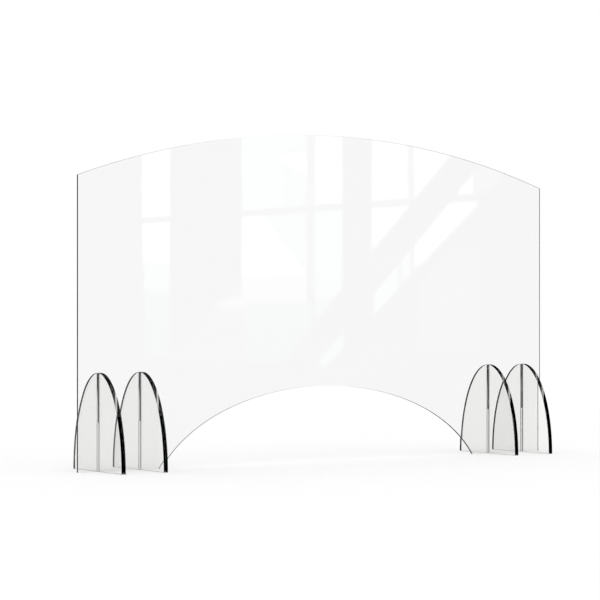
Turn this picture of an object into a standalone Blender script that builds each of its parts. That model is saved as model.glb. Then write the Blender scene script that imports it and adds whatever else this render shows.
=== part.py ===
"""Clear acrylic desk privacy panel that stands on four slotted feet.

One wide sheet with an arched top and an arched pass-through in its bottom edge stands across four
half-ellipse foot plates, two near each end. Sheet and feet are cut flat and cross at right angles in
halving joints: each foot has a slot from its tip down to half its height, the sheet has a slot from
its bottom edge up to the same level, and each fills the other's slot. Nothing else holds them.

Metres, +Z up. X runs along the sheet, Y through its thickness. The origin is on the desk, under the
middle of the sheet.
"""

import math

import bmesh
import bpy
from mathutils import Matrix, Vector

# The sheet
SHEET_WIDTH = 1.200
SHEET_SIDE_HEIGHT = 0.600
SHEET_ARCH_RISE = 0.100
SHEET_THICKNESS = 0.005

# The pass-through: the upper part of an ellipse whose centre is below the desk
PASS_WIDTH = 0.809
PASS_HEIGHT = 0.162
PASS_CENTRE_DROP = 0.089

# The feet: half ellipses, flat side down
FOOT_LENGTH = 0.200
FOOT_HEIGHT = 0.200
FOOT_THICKNESS = 0.010
FOOT_OUTER_X = 0.550
FOOT_INNER_X = 0.4525

# The halving joints
HALVING_LEVEL = FOOT_HEIGHT / 2
FIT_GAP = 0.0003
SLOT_CORNER_RADIUS = 0.0008
SLOT_MOUTH_RADIUS = 0.0012

# Every cut edge is lightly broken
ARRIS = 0.0004
ARRIS_MIN_ANGLE = math.radians(40)

# Straight steps that stand in for curves
TOP_STEPS = 48
PASS_STEPS = 64
FOOT_STEPS = 72
CORNER_STEPS = 3
SMOOTH_ANGLE = math.radians(30)

# Polymethyl methacrylate
ACRYLIC_IOR = 1.491
ACRYLIC_ROUGHNESS = 0.03
SHEET_COLOUR = (0.955, 0.965, 0.960)
FOOT_COLOUR = (0.905, 0.925, 0.915)


def ellipse_arc(centre, radii, start, end, steps):
    """Points on an ellipse from one parameter angle to another, both ends included."""
    points = []
    for step in range(steps + 1):
        angle = start + (end - start) * step / steps
        points.append(
            (centre[0] + radii[0] * math.cos(angle), centre[1] + radii[1] * math.sin(angle))
        )
    return points


def slot(centre, half_width, mouth, floor):
    """One slot's outline, from the left side of its mouth round its floor to the right side.

    The mouth's corners are rounded outwards as a lead-in, and the floor's corners are left round by
    the cutter. The slot runs up from a mouth below its floor, and down from one above it.
    """
    inward = 1 if floor > mouth else -1
    quarter = math.pi / 2
    left = centre - half_width
    right = centre + half_width
    lead = SLOT_MOUTH_RADIUS
    corner = SLOT_CORNER_RADIUS
    mouth_centre = mouth + inward * lead
    floor_centre = floor - inward * corner
    points = []
    points += ellipse_arc(
        (left - lead, mouth_centre), (lead, lead * inward), -quarter, 0, CORNER_STEPS
    )
    points += ellipse_arc(
        (left + corner, floor_centre), (corner, corner * inward), math.pi, quarter, CORNER_STEPS
    )
    points += ellipse_arc(
        (right - corner, floor_centre), (corner, corner * inward), quarter, 0, CORNER_STEPS
    )
    points += ellipse_arc(
        (right + lead, mouth_centre), (lead, lead * inward), math.pi, 3 * quarter, CORNER_STEPS
    )
    return points


def sheet_top():
    """The shallow circular arch, from the right corner over to the left one."""
    half = SHEET_WIDTH / 2
    radius = (half**2 + SHEET_ARCH_RISE**2) / (2 * SHEET_ARCH_RISE)
    centre = (0, SHEET_SIDE_HEIGHT + SHEET_ARCH_RISE - radius)
    spread = math.asin(half / radius)
    upright = math.pi / 2
    return ellipse_arc(centre, (radius, radius), upright - spread, upright + spread, TOP_STEPS)


def pass_through():
    """The pass-through's arch, from its left foot on the desk over to its right one."""
    semi_height = PASS_HEIGHT + PASS_CENTRE_DROP
    start = math.asin(PASS_CENTRE_DROP / semi_height)
    semi_width = PASS_WIDTH / 2 / math.cos(start)
    centre = (0, -PASS_CENTRE_DROP)
    return ellipse_arc(centre, (semi_width, semi_height), math.pi - start, start, PASS_STEPS)


def sheet_outline():
    """The sheet seen from the front, counter-clockwise from its bottom left corner."""
    half = SHEET_WIDTH / 2
    slot_half_width = FOOT_THICKNESS / 2 + FIT_GAP
    slot_floor = HALVING_LEVEL + FIT_GAP / 2

    points = [(-half, 0)]
    for foot_x in (-FOOT_OUTER_X, -FOOT_INNER_X):
        points += slot(foot_x, slot_half_width, 0, slot_floor)
    points += pass_through()
    for foot_x in (FOOT_INNER_X, FOOT_OUTER_X):
        points += slot(foot_x, slot_half_width, 0, slot_floor)
    points.append((half, 0))
    points += sheet_top()
    return points


def foot_outline():
    """A foot seen from its side, counter-clockwise from the front end of its flat base."""
    semi_length = FOOT_LENGTH / 2
    slot_half_width = SHEET_THICKNESS / 2 + FIT_GAP
    slot_floor = HALVING_LEVEL - FIT_GAP / 2

    # The curve stops where the rounding of the slot's mouth begins, just short of the tip.
    shoulder = slot_half_width + SLOT_MOUTH_RADIUS
    stop = math.acos(shoulder / semi_length)
    mouth = FOOT_HEIGHT * math.sin(stop)
    half_steps = FOOT_STEPS // 2

    back = ellipse_arc((0, 0), (semi_length, FOOT_HEIGHT), 0, stop, half_steps)
    front = ellipse_arc((0, 0), (semi_length, FOOT_HEIGHT), math.pi - stop, math.pi, half_steps)
    down_the_slot = slot(0, slot_half_width, mouth, slot_floor)
    down_the_slot.reverse()
    return back + down_the_slot[1:-1] + front


def plate(name, outline, thickness, across, location, material):
    """A flat plate cut to an outline, centred on its own thickness, with its edges broken.

    across is the level axis that the outline's first coordinate runs along.
    """
    mesh = bpy.data.meshes.new(name)
    plate_mesh = bmesh.new()
    through = Vector(across).cross(Vector((0, 0, 1)))
    placement = Matrix((across, (0, 0, 1), through)).transposed()
    corners = []
    for u, z in outline:
        corners.append(plate_mesh.verts.new(placement @ Vector((u, z, -thickness / 2))))
    face = plate_mesh.faces.new(corners)
    extruded = bmesh.ops.extrude_face_region(plate_mesh, geom=[face])
    far_side = [item for item in extruded["geom"] if isinstance(item, bmesh.types.BMVert)]
    bmesh.ops.translate(plate_mesh, verts=far_side, vec=through * thickness)
    bmesh.ops.recalc_face_normals(plate_mesh, faces=plate_mesh.faces)
    plate_mesh.to_mesh(mesh)
    plate_mesh.free()

    mesh.shade_smooth()
    mesh.set_sharp_from_angle(angle=SMOOTH_ANGLE)
    mesh.materials.append(material)
    plate_object = bpy.data.objects.new(name, mesh)
    plate_object.location = location
    bpy.context.collection.objects.link(plate_object)

    arris = plate_object.modifiers.new("arris", "BEVEL")
    arris.width = ARRIS
    arris.segments = 1
    arris.limit_method = "ANGLE"
    arris.angle_limit = ARRIS_MIN_ANGLE
    return plate_object


def acrylic(name, colour):
    """Clear polished acrylic."""
    material = bpy.data.materials.new(name)
    material.use_nodes = True
    shader = material.node_tree.nodes["Principled BSDF"]
    shader.inputs["Base Color"].default_value = (*colour, 1)
    shader.inputs["Metallic"].default_value = 0
    shader.inputs["Roughness"].default_value = ACRYLIC_ROUGHNESS
    shader.inputs["IOR"].default_value = ACRYLIC_IOR
    shader.inputs["Transmission Weight"].default_value = 1
    return material


def make_sheet():
    """The wide arched sheet, which drops over the feet."""
    return plate(
        "privacy_sheet",
        sheet_outline(),
        SHEET_THICKNESS,
        (1, 0, 0),
        (0, 0, 0),
        acrylic("sheet_acrylic", SHEET_COLOUR),
    )


def make_foot(name, foot_x):
    """One foot plate, standing square to the sheet."""
    return plate(
        name,
        foot_outline(),
        FOOT_THICKNESS,
        (0, 1, 0),
        (foot_x, 0, 0),
        acrylic(f"{name}_acrylic", FOOT_COLOUR),
    )


def main():
    for old in list(bpy.data.objects):
        bpy.data.objects.remove(old, do_unlink=True)

    feet = {
        "foot_left_outer": -FOOT_OUTER_X,
        "foot_left_inner": -FOOT_INNER_X,
        "foot_right_inner": FOOT_INNER_X,
        "foot_right_outer": FOOT_OUTER_X,
    }
    make_sheet()
    for name, foot_x in feet.items():
        make_foot(name, foot_x)


main()
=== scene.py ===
"""The looks of the clear acrylic desk privacy panel.

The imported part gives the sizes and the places. A finer plate stands for each of its five pieces,
with polished faces, cut edges and softly broken arrises. A white studio surrounds them, whose dark
front side and windows show only as reflections, as they do in a real clear sheet.

Metres, +Z up. X runs along the sheet and Y through it, and the origin is on the desk under its middle.
"""

import math

import bmesh
import bpy
import numpy as np
from mathutils import Matrix, Vector


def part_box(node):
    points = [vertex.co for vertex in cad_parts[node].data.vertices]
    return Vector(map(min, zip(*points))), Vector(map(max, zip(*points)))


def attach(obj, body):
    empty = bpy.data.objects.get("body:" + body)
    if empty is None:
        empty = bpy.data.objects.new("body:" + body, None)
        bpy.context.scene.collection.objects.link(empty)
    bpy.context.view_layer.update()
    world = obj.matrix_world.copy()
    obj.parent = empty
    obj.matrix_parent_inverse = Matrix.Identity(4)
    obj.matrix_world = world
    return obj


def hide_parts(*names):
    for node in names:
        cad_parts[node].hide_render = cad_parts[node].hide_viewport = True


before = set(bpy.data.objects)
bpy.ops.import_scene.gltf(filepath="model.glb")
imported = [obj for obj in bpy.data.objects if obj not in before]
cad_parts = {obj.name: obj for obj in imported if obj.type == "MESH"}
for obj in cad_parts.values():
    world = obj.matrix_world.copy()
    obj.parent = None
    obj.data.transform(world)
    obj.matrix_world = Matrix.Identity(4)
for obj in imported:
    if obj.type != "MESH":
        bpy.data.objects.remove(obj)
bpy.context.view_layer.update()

# The sheet's curves, which its box doesn't give
SHEET_ARCH_RISE = 0.100
PASS_WIDTH = 0.809
PASS_HEIGHT = 0.162
PASS_CENTRE_DROP = 0.089

# The feet and the halving joints
FOOT_HEIGHT = 0.200
HALVING_LEVEL = FOOT_HEIGHT / 2
FIT_GAP = 0.0003
SLOT_CORNER_RADIUS = 0.0008
SLOT_MOUTH_RADIUS = 0.0012

# Broken edges, and the steps of the curves
ARRIS = 0.0003
ARRIS_STEPS = 3
ARRIS_MIN_ANGLE = math.radians(40)
SMOOTH_ANGLE = math.radians(35)
TOP_STEPS = 180
PASS_STEPS = 220
FOOT_STEPS = 200
CORNER_STEPS = 6

# The axes that the plates' thicknesses lie along
X_AXIS = 0
Y_AXIS = 1

# Each plate's materials, in the order of its material slots
FACE, EDGE, ARRIS_FACE, SLOT_WALL = range(4)

# A side of a plate is a face, and not an edge, if it looks along the thickness more than this
FACE_ALIGNMENT = 0.5

# Polymethyl methacrylate
ACRYLIC_IOR = 1.491
SHEET_TINT = (1.000, 1.000, 0.998)
FOOT_TINT = (0.998, 0.998, 0.988)

# The part of the light that goes through a slot's walls and isn't scattered by them
SHEET_SLOT_CLEAR = 0.0
FOOT_SLOT_CLEAR = 0.9

# The roughness of a surface: at its worst, or where it is smoothest and where it is roughest
SMUDGE_ROUGHNESS = 0.05
SCRATCH_ROUGHNESS = 0.12
EDGE_POLISH = (0.02, 0.10)
ARRIS_POLISH = (0.08, 0.30)
SLOT_POLISH = (0.35, 0.55)

# The depth of each surface's relief
WAVINESS = 0.00003
SAW_MARK = 0.00001
MILL_MARK = 0.00005
SCUFF_DEPTH = 0.00002

# The noise behind each surface's detail: its scale per metre, and how much finer noise it carries
WAVE_NOISE = (7, 2)
SMUDGE_NOISE = (11, 5)
SCRATCH_NOISE = (5, 2)
CUTTER_NOISE = (18, 4)
POLISH_NOISE = (60, 4)
SCUFF_NOISE = (900, 3)
WEAR_NOISE = (25, 5)

# The levels of noise between which a surface goes from one roughness to the other
SMUDGE_LEVELS = (0.5, 0.75)
SCRATCH_LEVELS = (0.76, 0.79)
POLISH_LEVELS = (0.35, 0.65)
WEAR_LEVELS = (0.4, 0.7)

# How much finer a scratch's noise is across it and along it, and a cutter mark's across it
SCRATCH_ACROSS = 90
SCRATCH_ALONG = 3
MARK_ACROSS = 60

# How far a polished edge falls away, at what distance from its middle
CROWN_DEPTH = 0.00015
CROWN_WIDTH = 0.005

# The studio as it is seen: white, with a soft shade under the panel that ends some way from it
WHITE = (1.006, 1.006, 1.006, 1.0)
FLOOR_ALBEDO = (1.0, 1.0, 1.0, 1.0)
FLOOR_SHADE = 0.3
SHADE_FADES_FROM = 1.0
SHADE_FADES_TO = 2.5
FLOOR_SIZE = 60.0

# The studio as it is mirrored: dark, with a faint glow behind the panel on the left. The glow begins
# where a direction's part along the glow's axis is GLOW_SPREAD.
GLOW_AXIS = (-0.34, 0.94, 0.0)
GLOW_SPREAD = 0.9
GLOW = 0.43

# Light that has gone round inside a plate comes from the studio's bright back, whose sides lie
# where a direction goes as far sideways as back. After too many turns it is lost.
BACK_SIDE_DARK = -0.10
BACK_SIDE_BRIGHT = 0.15
MOST_TURNS = 3
BLACK = (0.0, 0.0, 0.0, 1.0)

# Two window walls of one design, one in front of the panel on the right and a low one straight in
# front: each one's name, its place, its turn and the scale of its height
WINDOW_WALLS = (
    ("window_wall_right", (3.0, -5.0, 0.0), math.radians(98), 1.0),
    ("window_wall_front", (-1.0, -9.0, -0.6), 0.0, 0.3),
)

# A window wall's size in its own coordinates, which run along it and up, and the step of its grid
WALL_START = -1.5
WALL_END = 2.6
WALL_TOP = 3.3
WALL_STEP = 0.01

# How soft the edges of its patches of light are: half the width that an edge fades over
SIDE_BLUR = 0.012
BAR_BLUR = 0.006
SOFT_BLUR = 0.03

# The light in the panes, on their frames and in the haze around them
DAYLIGHT = (1.15, 1.15, 1.15)
SHADED_SKY = (0.74, 0.92, 0.87)
BLUE_SHADE = (0.68, 0.84, 0.92)
GARDEN = (0.60, 0.80, 0.70)
SILL_LIGHT = (0.72, 0.74, 0.76)
FRAME_LIGHT = (0.12, 0.18, 0.15)
BRIGHT_HAZE = (0.26, 0.47, 0.38)
HAZE = (0.19, 0.40, 0.30)
LOW_HAZE = (0.11, 0.30, 0.21)
DIM_HAZE = (0.07, 0.11, 0.09)
FAINT_LIGHT = (0.22, 0.22, 0.20)
FAINT_PANE = (0.12, 0.12, 0.12)
LOW_GLINT = (0.50, 0.66, 0.72)

# A patch of light has a left and a right side, a lower and an upper edge, and a colour. A slanting
# edge is given by one of its points, as a place along the wall and a height, and by its slope.
PANE_TOP = 3.1
BAR_TOP = 0.735
BAR_BOTTOM = 0.707
WINDOWS = (
    (-0.05, 0.97, 0.36, PANE_TOP, FRAME_LIGHT),
    (1.24, 2.11, 0.36, PANE_TOP, FRAME_LIGHT),
    (-1.26, -0.90, BAR_TOP, PANE_TOP, DAYLIGHT),
    (-1.26, -0.90, 0.50, BAR_BOTTOM, DAYLIGHT),
    (-1.24, -0.90, 0.36, BAR_BOTTOM, GARDEN),
    (-0.05, 0.40, BAR_TOP, PANE_TOP, SHADED_SKY),
    (-0.05, 0.63, BAR_TOP, 1.02, GARDEN),
    (-0.05, 0.63, 0.98, PANE_TOP, SHADED_SKY),
    (0.30, 0.63, (0.31, 0.96, -0.35), 0.98, DAYLIGHT),
    (-0.05, 0.20, 0.42, BAR_BOTTOM, DAYLIGHT),
    (0.18, 0.63, 0.42, (0.24, 0.675, -0.59), DAYLIGHT),
    (-0.05, 0.63, 0.42, BAR_BOTTOM, GARDEN),
    (0.71, 0.97, BAR_TOP, PANE_TOP, DAYLIGHT),
    (0.71, 0.97, 0.39, BAR_BOTTOM, BLUE_SHADE),
    (0.71, 0.97, 0.32, 0.45, GARDEN),
    (1.24, 1.55, BAR_TOP, PANE_TOP, DAYLIGHT),
    (1.24, 1.55, 0.36, BAR_BOTTOM, DAYLIGHT),
    (1.60, 2.11, BAR_TOP, PANE_TOP, DAYLIGHT),
    (-0.05, 0.63, 0.31, 0.45, SILL_LIGHT),
    (-0.33, 0.00, 0.29, (-0.33, 0.31, 0.12), SILL_LIGHT),
    (0.71, 0.97, 0.24, 0.36, BRIGHT_HAZE),
    (-0.02, 0.67, 0.20, 0.34, HAZE),
    (-0.02, 0.67, 0.05, 0.30, LOW_HAZE),
    (-1.02, 0.00, 0.00, (-0.33, 0.31, 0.45), DIM_HAZE),
    (-1.22, -0.92, 0.20, 0.40, HAZE),
    (-1.22, -0.92, 0.05, 0.30, LOW_HAZE),
)

# What shows between the two dark beams that slant across the windows, and below the lower beam. Each
# beam lies between two slanting edges.
BETWEEN_BEAMS = (
    (1.96, 2.07, BAR_TOP, 0.81, DAYLIGHT),
    (1.60, 2.10, 0.46, BAR_BOTTOM, DAYLIGHT),
    (1.495, 1.57, 0.41, 0.54, GARDEN),
    (1.26, 1.47, 0.26, 0.49, BLUE_SHADE),
    (2.08, 2.27, 0.74, 0.90, FAINT_LIGHT),
    (0.76, 0.97, 0.04, 0.22, LOW_GLINT),
)
BELOW_BEAMS = ((1.65, 2.11, 0.14, 0.53, FAINT_PANE),)
UPPER_BEAM_TOP = (0.346, 0.030, 0.557)
UPPER_BEAM_FOOT = (0.778, 0.078, 0.567)
LOWER_BEAM_TOP = (0.983, 0.132, 0.501)
LOWER_BEAM_FOOT = (1.045, 0.022, 0.605)

# The camera: level, its view shifted down a little
CAMERA_LOCATION = (-2.930, -4.273, 0.3652)
CAMERA_YAW = 0.5914
CAMERA_LENS = 144.46
CAMERA_SHIFT_Y = -0.0147


def ellipse_arc(centre, radii, start, end, steps):
    """Points on an ellipse from one parameter angle to another, both ends included."""
    points = []
    for step in range(steps + 1):
        angle = start + (end - start) * step / steps
        points.append(
            (centre[0] + radii[0] * math.cos(angle), centre[1] + radii[1] * math.sin(angle))
        )
    return points


def slot_outline(centre, half_width, mouth, floor):
    """One slot's outline, from the left side of its mouth round its floor to the right side."""
    inward = 1 if floor > mouth else -1
    quarter = math.pi / 2
    left = centre - half_width
    right = centre + half_width
    lead = SLOT_MOUTH_RADIUS
    corner = SLOT_CORNER_RADIUS
    mouth_centre = mouth + inward * lead
    floor_centre = floor - inward * corner
    points = []
    points += ellipse_arc(
        (left - lead, mouth_centre), (lead, lead * inward), -quarter, 0, CORNER_STEPS
    )
    points += ellipse_arc(
        (left + corner, floor_centre), (corner, corner * inward), math.pi, quarter, CORNER_STEPS
    )
    points += ellipse_arc(
        (right - corner, floor_centre), (corner, corner * inward), quarter, 0, CORNER_STEPS
    )
    points += ellipse_arc(
        (right + lead, mouth_centre), (lead, lead * inward), math.pi, 3 * quarter, CORNER_STEPS
    )
    return points


def top_arch(half_width, apex):
    """The shallow circular arch, from the right corner over to the left one."""
    radius = (half_width**2 + SHEET_ARCH_RISE**2) / (2 * SHEET_ARCH_RISE)
    spread = math.asin(half_width / radius)
    upright = math.pi / 2
    return ellipse_arc(
        (0, apex - radius), (radius, radius), upright - spread, upright + spread, TOP_STEPS
    )


def pass_through():
    """The pass-through's arch: the upper part of an ellipse whose centre is below the desk."""
    semi_height = PASS_HEIGHT + PASS_CENTRE_DROP
    start = math.asin(PASS_CENTRE_DROP / semi_height)
    semi_width = PASS_WIDTH / 2 / math.cos(start)
    return ellipse_arc(
        (0, -PASS_CENTRE_DROP), (semi_width, semi_height), math.pi - start, start, PASS_STEPS
    )


def sheet_outline(half_width, apex, foot_places, foot_thickness):
    """The sheet seen from the front, counter-clockwise from its bottom left corner."""
    slot_half_width = foot_thickness / 2 + FIT_GAP
    slot_floor = HALVING_LEVEL + FIT_GAP / 2
    left_feet = [x for x in foot_places if x < 0]
    right_feet = [x for x in foot_places if x > 0]

    points = [(-half_width, 0)]
    for foot_x in left_feet:
        points += slot_outline(foot_x, slot_half_width, 0, slot_floor)
    points += pass_through()
    for foot_x in right_feet:
        points += slot_outline(foot_x, slot_half_width, 0, slot_floor)
    points.append((half_width, 0))
    points += top_arch(half_width, apex)
    return points


def foot_outline(semi_length, sheet_thickness):
    """A foot seen from its side, counter-clockwise from the front end of its flat base."""
    slot_half_width = sheet_thickness / 2 + FIT_GAP
    slot_floor = HALVING_LEVEL - FIT_GAP / 2

    # The curve stops where the rounding of the slot's mouth begins, just short of the tip.
    shoulder = slot_half_width + SLOT_MOUTH_RADIUS
    stop = math.acos(shoulder / semi_length)
    mouth = FOOT_HEIGHT * math.sin(stop)
    half_steps = FOOT_STEPS // 2

    radii = (semi_length, FOOT_HEIGHT)
    back = ellipse_arc((0, 0), radii, 0, stop, half_steps)
    front = ellipse_arc((0, 0), radii, math.pi - stop, math.pi, half_steps)
    down_the_slot = slot_outline(0, slot_half_width, mouth, slot_floor)
    down_the_slot.reverse()
    return back + down_the_slot[1:-1] + front


def plate(name, outline, in_slot, thickness, across, location, materials):
    """A flat plate cut to an outline, centred on its own thickness, with rounded arrises.

    across is the level axis that the outline's first coordinate runs along, and in_slot says
    whether a place on the outline is a wall of a halving slot.
    """
    mesh = bpy.data.meshes.new(name)
    plate_mesh = bmesh.new()
    through = Vector(across).cross(Vector((0, 0, 1)))
    placement = Matrix((across, (0, 0, 1), through)).transposed()
    corners = []
    for u, z in outline:
        corners.append(plate_mesh.verts.new(placement @ Vector((u, z, -thickness / 2))))
    face = plate_mesh.faces.new(corners)
    extruded = bmesh.ops.extrude_face_region(plate_mesh, geom=[face])
    far_side = [item for item in extruded["geom"] if isinstance(item, bmesh.types.BMVert)]
    bmesh.ops.translate(plate_mesh, verts=far_side, vec=through * thickness)
    bmesh.ops.recalc_face_normals(plate_mesh, faces=plate_mesh.faces)
    for side in plate_mesh.faces:
        side.smooth = True
        middle = side.calc_center_median()
        if abs(side.normal.dot(through)) > FACE_ALIGNMENT:
            side.material_index = FACE
        elif in_slot(middle.dot(Vector(across)), middle.z):
            side.material_index = SLOT_WALL
        else:
            side.material_index = EDGE
    plate_mesh.to_mesh(mesh)
    plate_mesh.free()

    for material in materials:
        mesh.materials.append(material)
    mesh.set_sharp_from_angle(angle=SMOOTH_ANGLE)
    plate_object = bpy.data.objects.new(name, mesh)
    plate_object.location = location
    bpy.context.scene.collection.objects.link(plate_object)

    arris = plate_object.modifiers.new("arris", "BEVEL")
    arris.width = ARRIS
    arris.segments = ARRIS_STEPS
    arris.limit_method = "ANGLE"
    arris.angle_limit = ARRIS_MIN_ANGLE
    arris.harden_normals = True
    arris.material = ARRIS_FACE
    return plate_object


def node(tree, kind, **settings):
    """A new shader node. Each setting is an attribute of the node, or the value of an input."""
    made = tree.nodes.new(kind)
    for name, value in settings.items():
        if hasattr(made, name):
            setattr(made, name, value)
        else:
            made.inputs[name.replace("_", " ")].default_value = value
    return made


def noise(tree, seed, scale_and_detail, stretch=(1, 1, 1)):
    """Noise over the piece's own coordinates, finer along an axis whose stretch is large."""
    scale, detail = scale_and_detail
    place = node(tree, "ShaderNodeTexCoord")
    mapping = node(tree, "ShaderNodeMapping", Scale=stretch)
    texture = node(
        tree, "ShaderNodeTexNoise", noise_dimensions="4D", W=seed, Scale=scale, Detail=detail
    )
    tree.links.new(place.outputs["Object"], mapping.inputs["Vector"])
    tree.links.new(mapping.outputs["Vector"], texture.inputs["Vector"])
    return texture.outputs["Fac"]


def span(tree, value, low, high, at_low, at_high):
    """A value that goes from at_low to at_high as the given one goes from low to high."""
    mapped = node(
        tree, "ShaderNodeMapRange", From_Min=low, From_Max=high, To_Min=at_low, To_Max=at_high
    )
    tree.links.new(value, mapped.inputs["Value"])
    return mapped.outputs["Result"]


def combined(tree, operation, first, second):
    """One math operation on two values."""
    result = node(tree, "ShaderNodeMath", operation=operation)
    tree.links.new(first, result.inputs[0])
    tree.links.new(second, result.inputs[1])
    return result.outputs[0]


def acrylic(name, tint, roughness, relief, relief_depth, clear=1):
    """Cast acrylic, whose surface detail comes from two functions of its node tree.

    clear is the part of the light that goes through the surface and isn't scattered by it.
    """
    material = bpy.data.materials.new(name)
    material.use_nodes = True
    tree = material.node_tree
    shader = tree.nodes["Principled BSDF"]
    shader.inputs["Base Color"].default_value = (*tint, 1)
    shader.inputs["IOR"].default_value = ACRYLIC_IOR
    shader.inputs["Transmission Weight"].default_value = clear
    bump = node(tree, "ShaderNodeBump", Distance=relief_depth)
    tree.links.new(relief(tree), bump.inputs["Height"])
    tree.links.new(bump.outputs["Normal"], shader.inputs["Normal"])
    tree.links.new(roughness(tree), shader.inputs["Roughness"])
    return material


def face_material(name, tint, seed):
    """A polished face: nearly flat, with faint smudges and a few hairline scratches."""
    level_stretch = (SCRATCH_ALONG, SCRATCH_ALONG, SCRATCH_ACROSS)
    rising_stretch = (SCRATCH_ACROSS, SCRATCH_ACROSS, SCRATCH_ALONG)

    def relief(tree):
        return noise(tree, seed, WAVE_NOISE)

    def scratches(tree, stretch):
        lines = noise(tree, seed, SCRATCH_NOISE, stretch)
        return span(tree, lines, *SCRATCH_LEVELS, 0, SCRATCH_ROUGHNESS)

    def roughness(tree):
        smudges = span(tree, noise(tree, seed, SMUDGE_NOISE), *SMUDGE_LEVELS, 0, SMUDGE_ROUGHNESS)
        scratched = combined(
            tree, "MAXIMUM", scratches(tree, level_stretch), scratches(tree, rising_stretch)
        )
        return combined(tree, "MAXIMUM", smudges, scratched)

    return acrylic(name, tint, roughness, relief, WAVINESS)


def cut_material(name, tint, seed, thickness_axis, polish, mark_depth, clear=1):
    """A cut edge, a little rounded by polishing. The cutter's marks run across the thickness.

    polish is the roughness where the edge is smoothest and where it is roughest.
    """
    stretch = [1 if axis == thickness_axis else MARK_ACROSS for axis in range(3)]

    def relief(tree):
        """The marks, from 0 to 1, less the square fall of the crown away from the edge's middle."""
        place = node(tree, "ShaderNodeTexCoord")
        axes = node(tree, "ShaderNodeSeparateXYZ")
        tree.links.new(place.outputs["Object"], axes.inputs[0])
        from_middle = axes.outputs[thickness_axis]
        square = combined(tree, "MULTIPLY", from_middle, from_middle)
        fall = span(tree, square, 0, CROWN_WIDTH**2, 0, CROWN_DEPTH / mark_depth)
        return combined(tree, "SUBTRACT", noise(tree, seed, CUTTER_NOISE, stretch), fall)

    def roughness(tree):
        return span(tree, noise(tree, seed, POLISH_NOISE), *POLISH_LEVELS, *polish)

    return acrylic(name, tint, roughness, relief, mark_depth, clear)


def arris_material(name, tint, seed):
    """The thin broken edge between a face and a cut edge, scuffed here and there by handling."""

    def relief(tree):
        return noise(tree, seed, SCUFF_NOISE)

    def roughness(tree):
        return span(tree, noise(tree, seed, WEAR_NOISE), *WEAR_LEVELS, *ARRIS_POLISH)

    return acrylic(name, tint, roughness, relief, SCUFF_DEPTH)


def plate_materials(name, tint, seed, thickness_axis, slot_clear):
    """The materials of one plate, in the order of FACE, EDGE, ARRIS_FACE and SLOT_WALL."""
    return [
        face_material(f"{name}_face", tint, seed),
        cut_material(f"{name}_edge", tint, seed, thickness_axis, EDGE_POLISH, SAW_MARK),
        arris_material(f"{name}_arris", tint, seed),
        cut_material(
            f"{name}_slot_wall", tint, seed, thickness_axis, SLOT_POLISH, MILL_MARK, slot_clear
        ),
    ]


def make_sheet(foot_places, foot_thickness, seed):
    """The wide arched sheet."""
    low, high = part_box("privacy_sheet")
    reach = foot_thickness / 2 + FIT_GAP + SLOT_MOUTH_RADIUS

    def in_slot(x, z):
        return z < HALVING_LEVEL + FIT_GAP and min(abs(x - foot_x) for foot_x in foot_places) < reach

    sheet = plate(
        "arched_sheet",
        sheet_outline(high.x, high.z, foot_places, foot_thickness),
        in_slot,
        high.y - low.y,
        (1, 0, 0),
        (0, 0, 0),
        plate_materials("sheet", SHEET_TINT, seed, Y_AXIS, SHEET_SLOT_CLEAR),
    )
    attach(sheet, "sheet")
    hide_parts("privacy_sheet")


def make_foot(body, sheet_thickness, seed):
    """One foot plate, which is named after its body. The CAD node has the body's name too."""
    low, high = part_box(body)
    reach = sheet_thickness / 2 + FIT_GAP + SLOT_MOUTH_RADIUS

    def in_slot(y, z):
        return z > HALVING_LEVEL - FIT_GAP and abs(y) < reach

    foot = plate(
        f"{body}_plate",
        foot_outline(high.y, sheet_thickness),
        in_slot,
        high.x - low.x,
        (0, 1, 0),
        ((low.x + high.x) / 2, 0, 0),
        plate_materials(body, FOOT_TINT, seed, X_AXIS, FOOT_SLOT_CLEAR),
    )
    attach(foot, body)
    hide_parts(body)


def constant(tree, value):
    """A value node."""
    made = node(tree, "ShaderNodeValue")
    made.outputs[0].default_value = value
    return made.outputs[0]


def mirrored_at_least(tree, times):
    """1 for a ray that surfaces have mirrored that many times or more, and 0 for others.

    The count is a whole number, so the test lies halfway between two counts.
    """
    path = node(tree, "ShaderNodeLightPath")
    return combined(
        tree, "GREATER_THAN", path.outputs["Glossy Depth"], constant(tree, times - 0.5)
    )


def chosen(tree, choice, if_not, if_so):
    """One of two shaders."""
    mix = node(tree, "ShaderNodeMixShader")
    tree.links.new(choice, mix.inputs["Fac"])
    tree.links.new(if_not.outputs[0], mix.inputs[1])
    tree.links.new(if_so.outputs[0], mix.inputs[2])
    return mix


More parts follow.
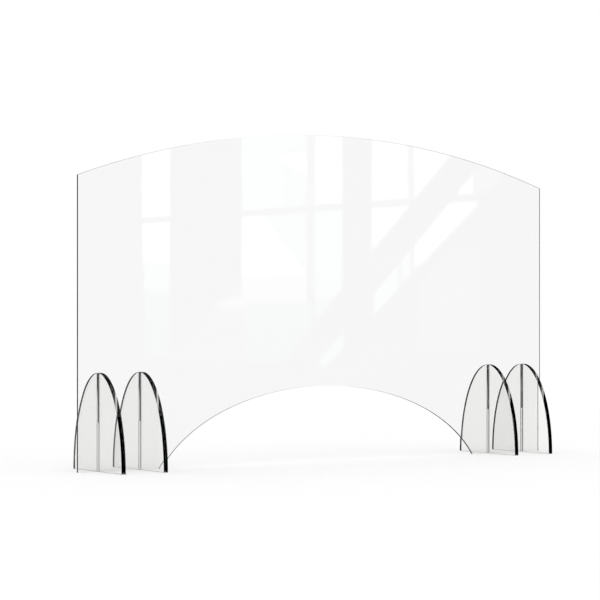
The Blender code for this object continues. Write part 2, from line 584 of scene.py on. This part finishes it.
def make_world():
    """White wherever it is seen. Mirrored, it is dark but for a faint glow behind on the left."""
    world = bpy.data.worlds.new("studio")
    world.use_nodes = True
    world.cycles.sampling_method = "NONE"
    tree = world.node_tree
    tree.nodes.clear()
    direction = node(tree, "ShaderNodeTexCoord").outputs["Generated"]

    towards_glow = node(tree, "ShaderNodeVectorMath", operation="DOT_PRODUCT")
    towards_glow.inputs[1].default_value = GLOW_AXIS
    tree.links.new(direction, towards_glow.inputs[0])
    axes = node(tree, "ShaderNodeSeparateXYZ")
    tree.links.new(direction, axes.inputs[0])

    sideways = node(tree, "ShaderNodeMath", operation="ABSOLUTE")
    tree.links.new(axes.outputs["X"], sideways.inputs[0])
    backwards = combined(tree, "SUBTRACT", axes.outputs["Y"], sideways.outputs[0])

    seen = node(tree, "ShaderNodeBackground", Color=WHITE)
    mirrored = node(tree, "ShaderNodeBackground")
    glow = span(tree, towards_glow.outputs["Value"], GLOW_SPREAD, 1, 0, GLOW)
    tree.links.new(glow, mirrored.inputs["Color"])
    inside = node(tree, "ShaderNodeBackground")
    back_light = span(tree, backwards, BACK_SIDE_DARK, BACK_SIDE_BRIGHT, 0, 1)
    tree.links.new(back_light, inside.inputs["Color"])

    lost = node(tree, "ShaderNodeBackground", Color=BLACK)
    light = chosen(tree, mirrored_at_least(tree, 1), seen, mirrored)
    light = chosen(tree, mirrored_at_least(tree, 2), light, inside)
    light = chosen(tree, mirrored_at_least(tree, MOST_TURNS + 1), light, lost)
    out = node(tree, "ShaderNodeOutputWorld")
    tree.links.new(light.outputs[0], out.inputs["Surface"])
    bpy.context.scene.world = world


def stage_material(name):
    """An empty material for the studio, and its node tree."""
    material = bpy.data.materials.new(name)
    material.use_nodes = True
    material.node_tree.nodes.clear()
    return material, material.node_tree


def make_floor():
    """A white desk top that runs out of sight. Mirrored rays pass it and show the world below."""
    material, tree = stage_material("white_floor")
    bright = node(tree, "ShaderNodeEmission", Color=WHITE)
    shaded = node(tree, "ShaderNodeBsdfDiffuse", Color=FLOOR_ALBEDO)
    distance = node(tree, "ShaderNodeVectorMath", operation="LENGTH")
    tree.links.new(node(tree, "ShaderNodeTexCoord").outputs["Object"], distance.inputs[0])
    shade = span(
        tree, distance.outputs["Value"], SHADE_FADES_FROM, SHADE_FADES_TO, FLOOR_SHADE, 0
    )
    seen = chosen(tree, shade, bright, shaded)
    passed = node(tree, "ShaderNodeBsdfTransparent")
    out = node(tree, "ShaderNodeOutputMaterial")
    surface = chosen(tree, mirrored_at_least(tree, 1), seen, passed)
    tree.links.new(surface.outputs[0], out.inputs["Surface"])

    mesh = bpy.data.meshes.new("floor")
    half = FLOOR_SIZE / 2
    mesh.from_pydata(
        [(-half, -half, 0), (half, -half, 0), (half, half, 0), (-half, half, 0)], [], [(0, 1, 2, 3)]
    )
    mesh.materials.append(material)
    floor = bpy.data.objects.new("floor", mesh)
    bpy.context.scene.collection.objects.link(floor)


def above(value, level, blur):
    """1 above a level and 0 below it, with a smooth step between them."""
    part = np.clip((value - level) / (2 * blur) + 0.5, 0, 1)
    return part * part * (3 - 2 * part)


def between(value, low, high, blur):
    """1 between two levels and 0 outside them, with soft edges."""
    return np.maximum(above(value, low, blur) - above(value, high, blur), 0)


def edge_height(edge, u):
    """The height of a patch's edge at a place along the wall."""
    if not isinstance(edge, tuple):
        return edge
    place, height, slope = edge
    return height + slope * (u - place)


def edge_blur(edge):
    """The window bar is sharp. All other edges are softer."""
    return BAR_BLUR if edge in (BAR_TOP, BAR_BOTTOM) else SOFT_BLUR


def patches_light(patches, u, z):
    """The light of points of the window wall, each in the brightest patch that covers it."""
    light = np.zeros((len(u), 3))
    for left, right, lower, upper, colour in patches:
        cover = between(u, left, right, SIDE_BLUR)
        cover *= above(z, edge_height(lower, u), edge_blur(lower))
        cover *= 1 - above(z, edge_height(upper, u), edge_blur(upper))
        light = np.maximum(light, np.outer(cover, colour))
    return light


def wall_light(u, z):
    """The light of points of the window wall, by their place along the wall and their height.

    Two dark beams slant over the windows. Each part of the wall, above, between and below the beams,
    has patches of its own.
    """
    over_beams = above(z, edge_height(UPPER_BEAM_TOP, u), SIDE_BLUR)
    over_gap = above(z, edge_height(UPPER_BEAM_FOOT, u), SIDE_BLUR)
    over_lower_beam = above(z, edge_height(LOWER_BEAM_TOP, u), SIDE_BLUR)
    between_beams = over_lower_beam * (1 - over_gap)
    under_beams = 1 - above(z, edge_height(LOWER_BEAM_FOOT, u), SIDE_BLUR)
    light = patches_light(WINDOWS, u, z) * over_beams[:, None]
    light += patches_light(BETWEEN_BEAMS, u, z) * between_beams[:, None]
    light += patches_light(BELOW_BEAMS, u, z) * under_beams[:, None]
    return light


def window_wall_mesh():
    """The wall as a fine grid, with the light of each point in a colour attribute."""
    columns = round((WALL_END - WALL_START) / WALL_STEP)
    rows = round(WALL_TOP / WALL_STEP)
    points = []
    for row in range(rows + 1):
        for column in range(columns + 1):
            points.append((WALL_START + column * WALL_STEP, 0, row * WALL_STEP))
    squares = []
    for row in range(rows):
        for column in range(columns):
            corner = row * (columns + 1) + column
            squares.append((corner, corner + 1, corner + columns + 2, corner + columns + 1))
    mesh = bpy.data.meshes.new("window_wall")
    mesh.from_pydata(points, [], squares)

    places = np.array(points)
    colours = np.ones((len(points), 4))
    colours[:, :3] = wall_light(places[:, 0], places[:, 2])
    light = mesh.color_attributes.new("light", "FLOAT_COLOR", "POINT")
    light.data.foreach_set("color", colours.ravel())
    return mesh


def make_window_walls():
    """The walls that the sheet mirrors. They are white to rays that come through the sheet."""
    material, tree = stage_material("window_wall")
    material.cycles.emission_sampling = "NONE"
    seen = node(tree, "ShaderNodeEmission", Color=WHITE)
    mirrored = node(tree, "ShaderNodeEmission")
    light = node(tree, "ShaderNodeAttribute", attribute_name="light")
    tree.links.new(light.outputs["Color"], mirrored.inputs["Color"])
    out = node(tree, "ShaderNodeOutputMaterial")
    surface = chosen(tree, mirrored_at_least(tree, 1), seen, mirrored)
    tree.links.new(surface.outputs[0], out.inputs["Surface"])

    mesh = window_wall_mesh()
    mesh.materials.append(material)
    for name, place, turn, height in WINDOW_WALLS:
        wall = bpy.data.objects.new(name, mesh)
        wall.location = place
        wall.rotation_euler.z = turn
        wall.scale.z = height
        wall.visible_camera = False
        wall.visible_diffuse = False
        wall.visible_shadow = False
        bpy.context.scene.collection.objects.link(wall)


def make_camera():
    """A level camera, in front of the panel on its left."""
    camera_data = bpy.data.cameras.new("camera")
    camera_data.lens = CAMERA_LENS
    camera_data.shift_y = CAMERA_SHIFT_Y
    camera = bpy.data.objects.new("camera", camera_data)
    camera.location = CAMERA_LOCATION
    camera.rotation_euler = (math.pi / 2, 0, -CAMERA_YAW)
    bpy.context.scene.collection.objects.link(camera)
    bpy.context.scene.camera = camera


def main():
    bpy.context.scene.view_settings.view_transform = "Standard"
    make_camera()
    make_world()
    make_floor()
    make_window_walls()

    feet = [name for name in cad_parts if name.startswith("foot_")]
    feet.sort(key=lambda name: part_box(name)[0].x)
    foot_places = []
    for name in feet:
        low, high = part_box(name)
        foot_places.append((low.x + high.x) / 2)
        foot_thickness = high.x - low.x
    low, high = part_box("privacy_sheet")
    sheet_thickness = high.y - low.y
    make_sheet(foot_places, foot_thickness, seed=0)
    for seed, name in enumerate(feet, 1):
        make_foot(name, sheet_thickness, seed)


main()
